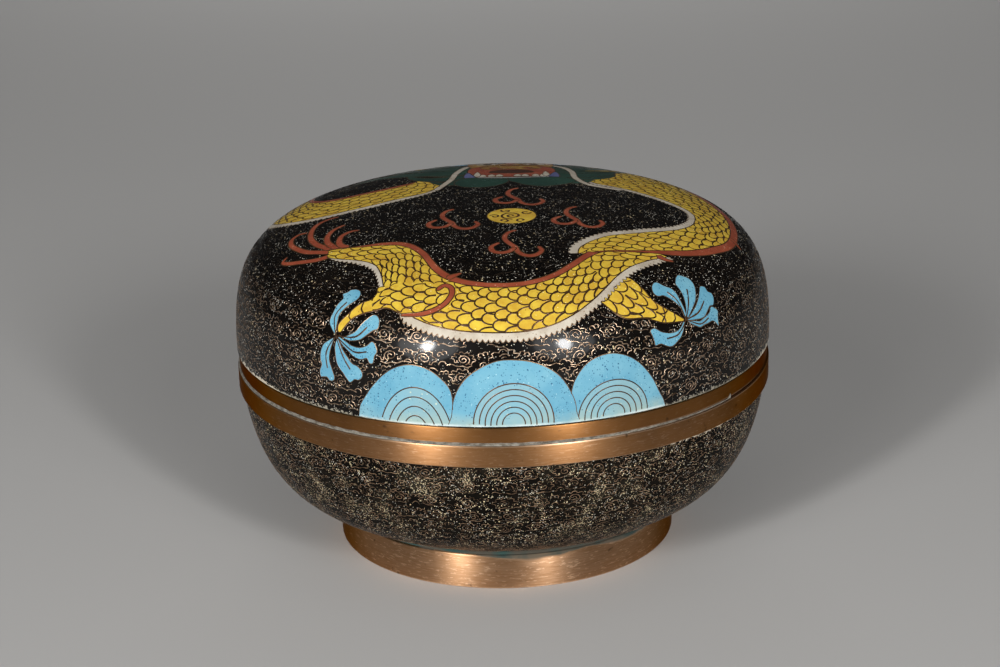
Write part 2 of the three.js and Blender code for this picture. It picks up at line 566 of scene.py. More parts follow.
LINING_SPECK = (0.04, 0.12, 0.14)

bowl_enamel = Enamel("bowl_enamel", BLACK, BOWL_CLOUDED, BOWL_SPECKS, 38.0, 0.34)
bowl_enamel.set(Specular_IOR_Level=0.02, Coat_Weight=0.01)
blotch = bowl_enamel.noise(62.0, 4.0, 0.65)
haze = bowl_enamel.mix(bowl_enamel.ramp(blotch, 0.52, 0.72, 0.0, 0.5), bowl_enamel.tone, HAZE)
grains = bowl_enamel.cells(1350.0).outputs["Distance"]
dusted = bowl_enamel.math("LESS_THAN", grains, bowl_enamel.ramp(blotch, 0.5, 0.68, 0.0, 0.38))
tone = bowl_enamel.mix(dusted, haze, DUST)
# A ragged pale cream line is painted along the bowl's top edge, just under the band, in the given sectors.
ragged_pale_edge = fringe(bowl_enamel, rim[1], 1.7, BOWL_PALE_EDGE_SECTORS)
tone = bowl_enamel.mix(ragged_pale_edge, tone, EDGE_CREAM)

# A ragged strip just above the foot is bare of wires and stained by the solder.
strip_reach = bowl_enamel.math("MULTIPLY", bowl_enamel.noise(42.0, 4.0), STRIP_RAGGED * MM)
strip_line = bowl_enamel.math("ADD", (start[1] + STRIP_HEIGHT) * MM, strip_reach)
strip = bowl_enamel.math("LESS_THAN", bowl_enamel.height(), strip_line)
strip_tone = bowl_enamel.mix(bowl_enamel.patchy(110.0, 0.4, 0.62, detail=4.0), STRIP_GREY, STRIP_GREEN)
bowl_enamel.set(Base_Color=bowl_enamel.mix(strip, tone, strip_tone))
inside_enamel = Enamel("turquoise_lining", LINING, LINING_DEEP, [(LINING_SPECK, 500.0, 0.3)])


def face_values(mesh, kind):
    """The middle or the normal of every face."""
    values = np.empty(len(mesh.polygons) * 3)
    mesh.polygons.foreach_get(kind, values)
    return values.reshape(-1, 3)


bowl = turned("bowl_enamel", bowl_section)
smooth_by_angle(bowl, ENAMEL_ANGLE)
dress(bowl, bowl_enamel.material, "bowl")
bowl.data.materials.append(inside_enamel.material)
middles, normals = face_values(bowl.data, "center") / MM, face_values(bowl.data, "normal")
outward = (middles[:, :2] * normals[:, :2]).sum(1) / np.hypot(middles[:, 0], middles[:, 1])
shown = (outward > 0.05) & (middles[:, 2] > seat + 0.1)
bowl.data.polygons.foreach_set("material_index", np.where(shown, 0, 1).astype(np.int32))

# --- The lid's picture ---------------------------------------------------------------------------
# The lid carries a five-clawed yellow dragon that winds round a flaming pearl above rounded sea
# waves. Each patch of coloured enamel is fenced by a flat copper wire stood on edge.

LID_WALL = 2.4
LID_TURN_IN = 0.5
CROWN_REACH = 0.94
SIDE_REACH = 0.76
DOME_STEPS = 160
HOLLOW_STEPS = 24
OUTLINE_STEP = 0.7


def dome_line(radius, bottom, top, steps):
    """From the crown down to the edge."""
    level = (radius * CROWN_REACH, top)
    upright = (radius, bottom + (top - bottom) * SIDE_REACH)
    return bezier((0, top), level, upright, (radius, bottom), steps)


lid_low, lid_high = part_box("lid")
lid_radius = lid_high.x / MM
lid_bottom = lid_low.z / MM
lid_skin = Skin(dome_line(lid_radius, lid_bottom + LID_TURN_IN, lid_high.z / MM, DOME_STEPS))


def smooth_line(points, step=0.8, closed=False):
    """A smooth line through the points, returned as points about step mm apart."""
    pts = [np.array(p, float) for p in points]
    count = len(pts)
    line = []
    for i in range(count if closed else count - 1):
        if closed:
            a, b, c, d = (pts[(i + k) % count] for k in (-1, 0, 1, 2))
        else:
            a, b, c, d = (pts[min(max(i + k, 0), count - 1)] for k in (-1, 0, 1, 2))
        pieces = max(1, math.ceil(np.linalg.norm(c - b) / step))
        bow = 2 * a - 5 * b + 4 * c - d
        twist = 3 * b - a - 3 * c + d
        for t in np.arange(pieces) / pieces:
            line.append(0.5 * (2 * b + (c - a) * t + bow * t ** 2 + twist * t ** 3))
    if not closed:
        line.append(pts[-1])
    return np.array(line)


def turned_side(line):
    """Unit vectors square to the line, to its left."""
    way = np.gradient(line, axis=0)
    way /= np.linalg.norm(way, axis=1)[:, None] + 1e-9
    return np.stack([-way[:, 1], way[:, 0]], 1)


def inside(points, outline):
    """Which of the points lie within the closed outline."""
    found = np.zeros(len(points), bool)
    near = np.all((points >= outline.min(0)) & (points <= outline.max(0)), axis=1)
    if not near.any():
        return found
    x, y = points[near].T
    count = np.zeros(len(x), int)
    for (x0, y0), (x1, y1) in zip(outline, np.roll(outline, -1, 0)):
        if y0 != y1:
            cross = (y0 > y) != (y1 > y)
            count += cross & (x < (x1 - x0) * (y - y0) / (y1 - y0) + x0)
    found[near] = count % 2 == 1
    return found


# The picture is laid out flat, in mm: first number to the right, second away from the front, both
# measured over the dome from its crown.
EDGE_RUN = lid_skin.length
CROWN_SHIFT = 2.4
RIM_SHIFT = 1.0
patches = []
lines = []


def settled(points):
    """The picture sits a little to the right of the crown."""
    points = np.array(points, float)
    out = np.hypot(*points.T) / EDGE_RUN
    return points + np.stack([CROWN_SHIFT + (RIM_SHIFT - CROWN_SHIFT) * out ** 2, np.zeros(len(out))], 1)


def patch(colour, outline, fenced=True):
    """A field of one colour. A later patch lies over an earlier one, and hides its wires."""
    outline = settled(outline)
    patches.append((colour, outline))
    if fenced:
        kind = "pale" if colour in ("turquoise", "white") else "brown"
        lines.append((np.vstack([outline, outline[:1]]), len(patches), kind))


def wire(line):
    lines.append((settled(line), len(patches), "brown"))


def ribbon(colour, points, width, fenced=True):
    """A strip of one colour along a line, with round ends. The width is one number or a list."""
    line = smooth_line(points, OUTLINE_STEP)
    share = np.linspace(0, 1, len(line))
    spread = np.interp(share, np.linspace(0, 1, np.size(width)), np.atleast_1d(width)) / 2
    side = turned_side(line) * spread[:, None]
    start_way, end_way = line[0] - line[1], line[-1] - line[-2]
    start_cap = line[0] + start_way / np.linalg.norm(start_way) * spread[0]
    end_cap = line[-1] + end_way / np.linalg.norm(end_way) * spread[-1]
    patch(colour, np.vstack([line + side, [end_cap], (line - side)[::-1], [start_cap]]), fenced)


def blob(colour, points, fenced=True):
    patch(colour, smooth_line(points, OUTLINE_STEP, closed=True), fenced)


def runs(keep):
    """(first, last) of each unbroken stretch of true values."""
    marks = np.flatnonzero(np.diff(np.concatenate([[0], np.asarray(keep, int), [0]])))
    return list(zip(marks[::2], marks[1::2]))


def picked(at, run, line):
    """Points at those distances along the line."""
    return np.stack([np.interp(at, run, line[:, k]) for k in (0, 1)], 1)


scale_dice = random.Random(5)


class Strand:
    """A stretch of the dragon's body between its back and its belly, from the tail's end on."""

    def __init__(self, back, belly):
        marks = np.linspace(0, 1, len(back))
        fine = np.linspace(0, 1, 12 * len(back))
        edges = []
        for side in (back, belly):
            line = smooth_line(side, 0.3)
            run = lengths(line)
            at = [run[np.linalg.norm(line - np.array(p), axis=1).argmin()] for p in side]
            edges.append(picked(np.interp(fine, marks, np.maximum.accumulate(at)), run, line))
        self.back, self.belly = edges
        self.share = fine
        self.run = lengths((self.back + self.belly) / 2)
        self.width = np.linalg.norm(self.back - self.belly, axis=1)

    def body(self, colour):
        patch(colour, np.vstack([self.back, self.belly[::-1]]))

    def edge(self, colour, on_back, widths, teeth=0.0, pitch=2.0):
        """A band laid along the outside of one edge. Widths are (share of the length, mm) pairs."""
        near, far = (self.back, self.belly) if on_back else (self.belly, self.back)
        run = lengths(near)
        steps = np.arange(0, run[-1], pitch / 6 if teeth else 0.8)
        line = picked(steps, run, near)
        out = picked(steps, run, near - far)
        out /= np.linalg.norm(out, axis=1)[:, None]
        share = np.interp(steps, run, self.share)
        width = np.interp(share, *zip(*widths))
        lobes = np.abs(np.sin(math.pi * steps / pitch)) - 0.6
        reach = width + lobes * teeth * np.minimum(width / 2, 1)
        for first, last in runs(width > 0.2):
            near_line, far_line = line[first:last], (line + out * reach[:, None])[first:last]
            if len(near_line) > 2:
                patch(colour, np.vstack([near_line, far_line[::-1]]))

    def scales(self, wide=4.2, pitch=3.9, last=1.0, toward=-1):
        """Rows of round scales, their free edges toward the tail, drawn by one curved wire each."""
        turn = np.linspace(0, math.pi, 11)
        for row in range(int(self.run[-1] * last / pitch) + 1):
            at = row * pitch
            across = max(1, round(float(np.interp(at, self.run, self.width)) / wide))
            shift = 0.5 * (row % 2)
            for k in range(across + (row % 2)):
                middle = (k + 0.5 - shift) / across + scale_dice.uniform(-0.03, 0.03)
                reach = pitch * scale_dice.uniform(0.96, 1.12)
                over = middle - np.cos(turn) * 0.5 / across
                along = at + toward * reach * np.sin(turn) ** 0.8
                fits = (over > -0.01) & (over < 1.01) & (along > -0.5) & (along < self.run[-1] + 0.5)
                over = np.clip(over, 0, 1)[:, None]
                on_back, on_belly = (picked(along, self.run, edge) for edge in (self.back, self.belly))
                arc = on_back * (1 - over) + on_belly * over
                for low, high in runs(fits):
                    if high - low > 2:
                        wire(arc[low:high])


def spun_by(turn):
    """What rows of points are multiplied by, to turn them that much in the picture's plane."""
    return np.array([[math.cos(turn), math.sin(turn)], [-math.sin(turn), math.cos(turn)]])


# Sea waves stand along the front of the rim: three rounded hills, each with a nest of arcs.
HILLS = [
    [(-68, -122), (-66, -113), (-60, -109.5), (-52, -106.5), (-45, -105), (-38, -105.5), (-32, -108),
     (-27, -112), (-23, -118), (-23.5, -126), (-25, -138), (-50, -136)],
    [(27, -136), (26.5, -122), (27, -114), (31, -107), (38, -102.5), (45, -101), (52, -101.5), (60, -104),
     (66, -107), (72, -110), (78, -118), (60, -134)],
    [(-26, -138), (-24, -126), (-21, -119), (-15, -113.5), (-5, -109.5), (4, -109), (12, -110), (20, -113),
     (26, -118), (30, -124), (32, -136)],
]
INNERMOST_ARC = 0.14
NESTS = [(-42, -128.5, 17.5, 15.5, 4, 1.35), (48, -122, 17, 12.5, 5, 1.0), (3, -131.5, 18, 14.5, 6, 1.0)]
for hill, (x, y, half, rise, arcs, peak) in zip(HILLS, NESTS):
    blob("turquoise", hill)
    lean = math.atan2(x, -y)
    turn = np.linspace(0, math.pi, 40)
    for arc in range(arcs):
        share = 1 - arc / arcs * (1 - INNERMOST_ARC)
        flat = np.stack([-half * share * np.cos(turn), rise * share * np.sin(turn) ** peak], 1)
        flat = np.vstack([[-half * share, -12], flat, [half * share, -12]])
        patch("pale_turquoise", flat @ spun_by(lean) + (x, y))

# The part of the body that curls round at the far left, behind the head.
far_belly = [(-24.5, 27), (-25.5, 20), (-28.5, 14), (-34, 9.5), (-42, 5), (-50, 0.5), (-60, -3), (-68, -4.3),
             (-76, -2.5), (-83, 3), (-88, 11), (-91, 22), (-91.5, 34), (-90, 45), (-86, 56), (-80, 66),
             (-71, 75), (-60, 81), (-48, 83), (-36, 80), (-26, 74)]
far_back = [(-34, 32), (-35, 29), (-38, 26), (-42, 23.5), (-47, 21), (-53, 18.5), (-60, 16.5), (-65, 16.5),
            (-70, 18.5), (-73, 22), (-75, 26), (-76, 31), (-76, 37), (-74.5, 43), (-71.5, 49), (-67, 55),
            (-61, 60), (-54, 63), (-46, 64), (-38, 62), (-30, 58)]
far = Strand(far_back, far_belly)
far.edge("red", True, [(0, 0), (0.1, 2.2), (0.9, 2.6), (1, 2)])
far.body("yellow")
far.edge("white", False, [(0, 1.8), (0.1, 2.0), (0.2, 2.9), (1, 3.0)], 0.9)
far.scales(toward=1)

# The forelegs reach out at the back, and end in the same claws as the hind legs.
FORELEGS = (
    (
        [(56, 46), (63, 55), (71, 60), (79, 63), (86, 65.5)],
        [(70, 30), (76, 38), (81, 47), (85, 55), (88.5, 62.5)],
        [(52, 42), (51, 48), (55, 53), (60, 53), (61, 49)],
    ),
    (
        [(-62, 72), (-62, 80), (-63, 86), (-64, 91), (-65, 95.5)],
        [(-80, 60), (-77, 71), (-73, 80), (-70, 87), (-67.5, 94)],
        [(-58, 70), (-56, 75), (-60, 79), (-64, 77), (-63.5, 74)],
    ),
)
for back, belly, hook in FORELEGS:
    leg = Strand(back, belly)
    leg.body("yellow")
    leg.scales(last=0.8, toward=1, wide=5.2)
    ribbon("red", hook, [1.4, 2, 1.6])

# The tail ends in five red streamers.
STREAMERS = [
    [(-62.5, -45.5), (-66, -46), (-70, -45), (-75, -42.5), (-79, -40), (-81.5, -37), (-80, -35)],
    [(-62.5, -43), (-67, -40.5), (-72, -37), (-76, -31.5), (-78.5, -26), (-78.5, -21), (-76, -18.5),
     (-73, -19)],
    [(-62, -41), (-65, -38), (-68.5, -33), (-71, -26), (-71, -18), (-69, -12.5), (-65.5, -9.5), (-62, -8.5)],
    [(-60, -41), (-62.5, -38), (-64.5, -33), (-64.5, -27.5), (-62.5, -22.5), (-59, -19.5)],
    [(-57, -41.5), (-59.5, -38.5), (-60, -34), (-59, -30), (-56, -27.5), (-53.5, -27.5)],
]
for streamer in STREAMERS:
    ribbon("red", streamer, [2.7, 2.6, 2.3, 2.1, 1.2])

# The right hind leg comes from behind the belly.
right_leg = Strand(
    [(36, -74), (39, -71.5), (42.9, -71), (47.3, -74.3), (51.7, -78), (57, -79.1), (66, -79.1)],
    [(30, -84), (33, -85), (38, -87.8), (43, -88.6), (50, -86), (58, -84.5), (66, -80)],
)
right_leg.body("yellow")
right_leg.scales(last=0.66, toward=1, wide=4.9, pitch=4.3)
wire(smooth_line([(56, -79.2), (57.5, -81.5), (57, -84.5)]))
wire(smooth_line([(61, -79.2), (62.2, -81), (61.5, -82.8)]))

RIGHT_CLAW = [
    [(66.5, -77.5), (64.5, -75), (62.5, -73), (60.5, -71), (58.5, -70), (55.5, -70), (53, -69.5),
     (51.5, -70.5), (51, -72.5), (51.5, -74.5), (52.5, -75.5), (54, -75.5), (55.5, -74.5), (57.5, -74.5),
     (60.5, -75), (63.5, -76), (65.5, -78)],
    [(66.5, -77.5), (65.5, -74.5), (64, -71.5), (62.5, -69.5), (61, -68), (60, -67), (60, -64), (61, -62),
     (64, -61.5), (66, -62), (67.5, -63.5), (68.5, -66), (69, -70), (68.5, -73), (68, -75.5),
     (67.5, -77.5)],
    [(67.5, -78), (68.5, -75.5), (69.5, -72), (70, -68.5), (70, -65), (70, -62.5), (72, -61.5),
     (73.5, -62.5), (75.5, -62), (77, -63.5), (77.5, -66), (76, -67.5), (75.5, -70), (75, -72.5),
     (73.5, -74.5), (71, -76.5), (68, -78.5)],
    [(68, -78.5), (71, -77), (73.5, -75.5), (75, -73), (76.5, -70), (76.5, -67.5), (78.5, -66.5),
     (80.5, -66.5), (81.5, -68.5), (83.5, -71), (82, -71), (79.5, -71.5), (77.5, -74), (76, -75.5),
     (74.5, -77.5), (71.5, -78.5), (68.5, -79)],
    [(66.5, -80), (67, -82.5), (67, -85.5), (66, -88), (64.5, -90.5), (62, -91.5), (59, -92), (57, -93.5),
     (56, -92.5), (54.5, -91), (53, -89.5), (54.5, -88), (57.5, -88), (61, -87), (64, -85), (65.5, -82.5),
     (66, -80)],
]
LEFT_CLAW = [
    [(-64, -84.5), (-65, -80.5), (-64.5, -78.5), (-62.5, -76.5), (-60.5, -74.5), (-58, -73), (-58, -71),
     (-56, -71), (-55, -70.5), (-53, -71), (-51.5, -72.5), (-51.5, -74.5), (-53, -76), (-56.5, -77),
     (-60, -78.5), (-61.5, -80.5), (-63, -83)],
    [(-62.5, -85.5), (-61, -87), (-58.5, -87.5), (-55.5, -87.5), (-52.5, -86), (-50, -85), (-47.5, -84.5),
     (-46, -85.5), (-45.5, -87.5), (-46.5, -90), (-48.5, -90), (-51, -90.5), (-54, -91), (-56.5, -90.5),
     (-59.5, -89)],
    [(-63, -86), (-60.5, -89), (-58.5, -91.5), (-55.5, -93.5), (-52.5, -94), (-50, -93.5), (-49, -95),
     (-49, -97.5), (-50.5, -98.5), (-52, -100.5), (-53.5, -100), (-54, -98), (-56.5, -97.5), (-59, -95.5),
     (-61, -92), (-62.5, -89)],
    [(-63.5, -86.5), (-65.5, -88), (-66.5, -90), (-67.5, -93), (-67.5, -95.5), (-66.5, -98.5), (-66, -100.5),
     (-65, -102.5), (-62.5, -102.5), (-60.5, -103.5), (-58.5, -103), (-58, -101.5), (-59, -99), (-61, -97),
     (-62, -94), (-63, -90.5)],
    [(-64.5, -85.5), (-67.5, -85), (-70.5, -85), (-73, -86.5), (-74.5, -88.5), (-75, -90.5), (-77, -91.5),
     (-78, -93.5), (-76.5, -94.5), (-75, -95.5), (-74.5, -97), (-73, -98), (-71.5, -97.5), (-71, -94),
     (-70.5, -91), (-68.5, -88.5), (-66, -86.5)],
]


def claw(tufts, heart, move=None):
    """Five turquoise nails that fan out from the wrist, with a wire up the middle of each."""
    for tuft in tufts:
        points = np.array(tuft)
        middle = len(points) // 2
        vein = [np.array(heart), (points[2] + points[-3]) / 2, (points[4] + points[-5]) / 2]
        if move:
            points, vein = move(points), list(move(np.array(vein)))
        blob("turquoise", points)
        wire(smooth_line(vein))


def moved(angle, centre, place):
    """The move that turns points by the angle and takes the centre to the place."""
    spin = spun_by(math.radians(angle))
    return lambda points: (points - centre) @ spin + place


RIGHT_HEART = (66.9, -78.9)
LEFT_HEART = (-63.9, -85.2)
claw(RIGHT_CLAW, RIGHT_HEART)
claw(LEFT_CLAW, LEFT_HEART)
claw(LEFT_CLAW, LEFT_HEART, moved(200, LEFT_HEART, (88, 65)))
claw(RIGHT_CLAW, RIGHT_HEART, moved(95, RIGHT_HEART, (-66.5, 96)))

# The trunk, from the end of the tail to where it dives behind the loop.
trunk = Strand(
    [(-63.5, -41), (-57, -42.5), (-51, -44), (-45, -45), (-40, -46), (-36, -48.5), (-33, -52), (-30, -57.5),
     (-28, -63), (-25.5, -69), (-22, -74), (-18, -77.2), (-13, -79.4), (-7, -80.8), (0, -81.2), (6, -80.4),
     (12, -78.2), (17, -75), (21, -71), (25, -66), (29, -60.5), (33, -56.5), (38, -54.5), (45, -53),
     (52, -51.5)],
    [(-64, -46), (-60, -49.5), (-54, -53), (-49, -56.5), (-46, -60), (-44.5, -64), (-43.5, -69), (-43, -74),
     (-42, -79), (-39.5, -85), (-35, -88.5), (-28, -93.5), (-20, -97), (-11, -99), (-1, -99.7), (8, -98.9),
     (16.5, -96), (23.5, -91.3), (29.5, -85), (34, -78.5), (38, -71.5), (42.5, -65), (47, -60.5),
     (52, -56.5), (57, -53)],
)
trunk.body("yellow")
trunk.scales()
trunk.edge("white", False, [(0, 0.2), (0.06, 1.6), (0.15, 3), (0.28, 2.6), (0.29, 0), (0.385, 0), (0.42, 3),
                            (0.95, 3), (1, 2)], 1.1)

# The left hind leg, whose thigh is marked off by a red hook.
LEFT_SHIN = [
    (-42.5, -73.5), (-45, -73.5), (-45.5, -76), (-47.5, -78), (-50.5, -78), (-53, -78.5), (-56.5, -80),
    (-59.5, -81), (-61.5, -82), (-62.5, -84), (-61.5, -85), (-58, -83.5), (-55, -82.5), (-51, -82.5),
    (-47, -83), (-44, -83), (-41.5, -84), (-39, -86), (-36.5, -88),
]
LEFT_THIGH = [(-31, -89.3), (-26, -89), (-21.8, -87), (-19.3, -83.5), (-19.6, -80), (-22, -77.6),
              (-28, -75.6), (-35, -73.6)]
blob("yellow", LEFT_SHIN + LEFT_THIGH, fenced=False)
wire(smooth_line(LEFT_SHIN))
left_leg = Strand(
    [(-20.5, -79), (-25, -76.8), (-30, -75.2), (-36, -73.4), (-42.5, -73.4), (-47.5, -78.2)],
    [(-20.5, -85.5), (-25, -88.3), (-31, -88.8), (-37, -87.2), (-42, -83.8), (-47.5, -83)],
)
left_leg.scales(toward=1, wide=4.3, pitch=4.1, last=0.95)
wire(smooth_line([(-50.5, -78.2), (-51.6, -80.4), (-51, -82.6)]))
wire(smooth_line([(-55.6, -79.5), (-56.8, -81.3), (-56.2, -82.8)]))
ribbon("red", [(-37, -88), (-31, -89.3), (-26, -89), (-21.8, -87), (-19.3, -83.5), (-19.3, -80),
               (-21.5, -78.2), (-24, -79.8)], [1.0, 1.9, 2, 2, 1.8])

# The loop at the right, from the fold up to the head's cheek.
loop = Strand(
    [(29, -58), (31, -56.3), (35, -54.8), (40, -53.6), (46, -52.2), (52, -50.2), (58, -48), (64, -45),
     (70, -40.5), (75, -35), (79.5, -29), (82.5, -22), (84, -13), (84, -3), (82.5, 6), (79.5, 15),
     (75.5, 24), (71.5, 33), (67.5, 42), (62, 51), (55, 59), (45, 66), (33, 71)],
    [(24.8, -58.5), (25.5, -54), (28.5, -49.3), (33, -44.5), (38, -41), (45, -38), (51, -35), (57, -32),
     (62, -28.5), (66, -24), (68.5, -19.5), (69.7, -14), (69.7, -9), (67.5, -4), (63.5, 0.5), (58.5, 5.5),
     (52.5, 10.5), (46, 15.5), (40, 19), (34, 23), (31, 30), (29, 40), (26, 50)],
)
loop.body("yellow")
loop.scales()
loop.edge("white", False, [(0, 3.2), (0.7, 3), (0.82, 2), (1, 1.8)], 1.0)
loop.edge("red", True, [(0.03, 0.8), (0.18, 1.2), (0.27, 3.2), (0.4, 3.8), (0.5, 3.6), (0.85, 3), (1, 2.4)])
trunk.edge("red", True, [(0.06, 0.5), (0.12, 2.4), (0.2, 3), (0.37, 3), (0.42, 2.9), (0.55, 2.4), (0.7, 2.6),
                         (0.85, 3), (0.87, 0), (1, 0)])
for spur in (
    [(84, -20), (86, -22), (88, -24)],
    [(54, -54), (56, -55), (59, -55)],
    [(-20, -74), (-18, -73), (-16, -72)],
):
    ribbon("red", spur, [2.8, 2.0, 0.8])

# The pearl floats between four pairs of red flames.
FLAME_SIZE = 0.92
FLAME = [
    ([(1, 17), (-1.5, 15), (-3, 11), (-2.8, 7), (-1, 3), (0.8, 0), (1.8, -4), (4, -7), (6.8, -7.8),
      (9.5, -6.3), (11, -3), (10, 0)], [1.5, 2.1, 2.3, 2.2, 2.3, 1.6]),
    ([(-5.5, 4), (-8.2, 0.6), (-7.5, -3.5), (-4.5, -5), (-1.5, -4), (0.5, -1)], [1.5, 2.3, 2.3, 2.0]),
]
for x, y in ((2, -54), (-20.5, -28), (24.5, -27), (3.5, -1.5)):
    for flame, widths in FLAME:
        ribbon("red", [(x + FLAME_SIZE * a, y + FLAME_SIZE * b) for a, b in flame], widths)
PEARL = np.array((1.8, -22.0))
PEARL_RADIUS = 9.0
SCROLLS_OUT = 6.2


def wound(heart, turn, reach):
    """Points round the heart, at the given turns and that far out."""
    return heart + np.reshape(reach, (-1, 1)) * np.stack([np.cos(turn), np.sin(turn)], 1)


patch("yellow", wound(PEARL, np.linspace(0, 2 * math.pi, 48, endpoint=False), PEARL_RADIUS))
turn = np.linspace(0, 3.5 * math.pi, 14)
ribbon("brown", wound(PEARL, turn, 0.4 + turn * 0.34), 0.9, fenced=False)
for bearing, swing in ((0.6, 1), (1.9, -1), (3.2, 1), (4.2, -1), (5.3, 1)):
    turn = np.linspace(0, 5.6, 9) * swing + bearing
    heart = PEARL + SCROLLS_OUT * np.array((math.cos(bearing), math.sin(bearing)))
    ribbon("brown", wound(heart, turn, 0.6 + np.abs(turn - bearing) * 0.24), 0.8, fenced=False)

# The head looks straight out: chin lobes, open mouth, nose, eyes, brows, horns and a blue-green mane.
HEAD = 2.5


def centred(points):
    """Points given from the head's middle line."""
    return [(HEAD + x, y) for x, y in points]


def pair(maker, colour, points, *rest):
    """The same form on both sides of the head."""
    for side in (-1, 1):
        maker(colour, centred([(side * x, y) for x, y in points]), *rest)


for lock in (
    [(16, 52), (25, 58), (33, 66), (38, 76), (36, 84)],
    [(16, 46), (26, 50), (36, 56), (43, 65), (44, 74)],
    [(15, 40), (26, 41), (35, 45), (43, 52), (47, 60)],
    [(15, 34), (25, 32), (32, 33), (38, 38), (40, 45)],
    [(15, 30), (22, 25), (27, 25), (31, 29)],
):
    pair(ribbon, "green", lock, [8, 8.5, 7, 4, 1])
ribbon("green", [(-14, 50), (-28, 54), (-42, 58), (-54, 56), (-62, 50)], [9, 9, 8, 5, 1])
ribbon("green", [(-14, 42), (-26, 44), (-38, 47), (-50, 48), (-60, 41)], [9, 10, 9, 6, 1.5])
ribbon("green", [(22, 35.5), (30, 36.5), (38, 41), (43, 49)], [9, 8, 6, 2])
ribbon("white", [(-26, 16), (-21, 30), (-19, 42), (-15, 55), (-9, 61)], [2.6, 2.4, 2.4, 2.6, 3.2])
ribbon("white", [(43, 14), (32, 20), (27, 31), (26, 43), (23, 53), (18, 58)], [2.4, 2.4, 2.4, 2.6, 3.2])
for horn in ([(7, 74), (9, 82), (14, 89), (20, 93), (22, 99)], [(14, 84.5), (15, 91), (13, 96)]):
    pair(ribbon, "white", horn, [3.6, 3.2, 2.6, 1.2])
pair(blob, "turquoise", [(15, 66), (19, 72), (25, 74), (28, 71), (25, 66), (19, 62)])
blob("ochre", centred([(-15, 52), (-17, 60), (-16, 69), (-11, 77), (-4, 81), (4, 81), (11, 77), (16, 69),
                       (17, 60), (15, 52), (8, 48), (-8, 48)]))
blob("red", centred([(-15, 34), (-17, 42), (-16, 51), (-10, 56), (0, 58), (10, 56), (16, 51), (17, 42),
                     (15, 34), (0, 31.5)]))
pair(blob, "violet", [(13.5, 31), (15, 37), (17, 42), (18.5, 36), (17.5, 31)])
blob("green", centred([(-1, 26), (-3.5, 21), (-8, 17.5), (-13, 16.5), (-18.5, 18), (-22, 23), (-21, 29),
                       (-17, 32.5), (0, 32.5)]))
blob("green", centred([(0, 32.5), (18, 32.5), (22.5, 30), (24.5, 26), (21, 21), (15, 17.5), (10, 17),
                       (5, 19), (1.5, 23), (-1, 26)]))
ribbon("pale_grey", centred([(-13, 32.6), (-6, 31.6), (0, 31.4), (6, 31.8), (14, 32.8)]), [1.4, 1.8, 1.4])
for tooth in (-11.2, -7.8, -4.8, 2.2, 5.2, 9.2, 12.2):
    x = HEAD + tooth
    blob("white", [(x - 1.2, 33.6), (x - 1.3, 35.8), (x, 37.6), (x + 1.3, 35.8), (x + 1.2, 33.6)])
pair(blob, "white", [(12.5, 34.5), (12, 38), (13.2, 43), (14.6, 38), (14.4, 34.5)])
blob("brown", centred([(-8.5, 41), (-5, 39.7), (0, 39.2), (5, 39.7), (8.5, 41), (7, 45), (0, 46.5),
                       (-7, 45)]))
blob("ochre", centred([(-9, 48), (-12, 51), (-10, 55.5), (-5, 57), (0, 56.5), (5, 57), (10, 55.5), (12, 51),
                       (9, 48), (4, 47), (0, 48.5), (-4, 47)]))
pair(blob, "red", [(4.2, 50.5), (6.5, 52.8), (8.6, 51.2), (7, 49.3)])
pair(blob, "white", [(4.5, 62), (8.5, 66), (13, 65), (13.5, 61.5), (9, 59.8)])
pair(blob, "black", [(7.4, 62.6), (9, 64.6), (10.8, 63.4), (10.2, 61.4), (8.4, 61)])
pair(ribbon, "turquoise", [(3.5, 66), (8, 70.5), (13, 70.5), (18, 67)], [2, 3.4, 2.6, 1])
blob("red", centred([(0, 60), (-2.2, 66), (-2.4, 72), (0, 76.5), (2.4, 72), (2.2, 66)]))
for y in (59, 70, 74):
    for side in (-1, 1):
        wire(smooth_line(centred([(side * 3.2, y), (side * 4.8, y + 1.6), (side * 6.2, y + 0.4)])))

# The lid's enamel is one shell. Its outer face is cut along every outline of the picture, so that
# each field keeps its own colour up to the wire.


def top_patch(points):
    """The number of the topmost patch at each place, or 0 on the black ground."""
    found = np.zeros(len(points), int)
    for number, (_, outline) in enumerate(patches, 1):
        found[inside(points, outline)] = number
    return found


GRID_STEP = 4.2
RIM_SIDES = 256
FLAT_RIM = EDGE_RUN * math.cos(math.pi / RIM_SIDES)

places, links = [], []
known = {}


def place_number(x, y):
    """The number of the corner at that place, which is added if it is new."""
    key = (round(x, 2), round(y, 2))
    if key not in known:
        known[key] = len(places)
        places.append(Vector(key))
    return known[key]


rim_angles = np.arange(RIM_SIDES) * 2 * math.pi / RIM_SIDES
rim_numbers = [place_number(EDGE_RUN * math.cos(a), EDGE_RUN * math.sin(a)) for a in rim_angles]
links += list(zip(rim_numbers, rim_numbers[1:] + rim_numbers[:1]))
for _, outline in patches:
    numbers = [place_number(x, y) for x, y in outline]
    links += [(a, b) for a, b in zip(numbers, numbers[1:] + numbers[:1]) if a != b]
for ring in range(1, int(EDGE_RUN / GRID_STEP)):
    sides = max(6, round(2 * math.pi * ring))
    for k in range(sides):
        a = (k + 0.5 * (ring % 2)) * 2 * math.pi / sides
        place_number(ring * GRID_STEP * math.cos(a), ring * GRID_STEP * math.sin(a))
links = sorted({(min(a, b), max(a, b)) for a, b in links})
cut = delaunay_2d_cdt(places, links, [], 0, 1e-4, False)
flat = np.array([tuple(p) for p in cut[0]])
corners = np.array(cut[2])
middles = flat[corners].mean(1)
keep = np.hypot(*middles.T) < FLAT_RIM + 1e-3
corners, middles = corners[keep], middles[keep]
tops = top_patch(middles)

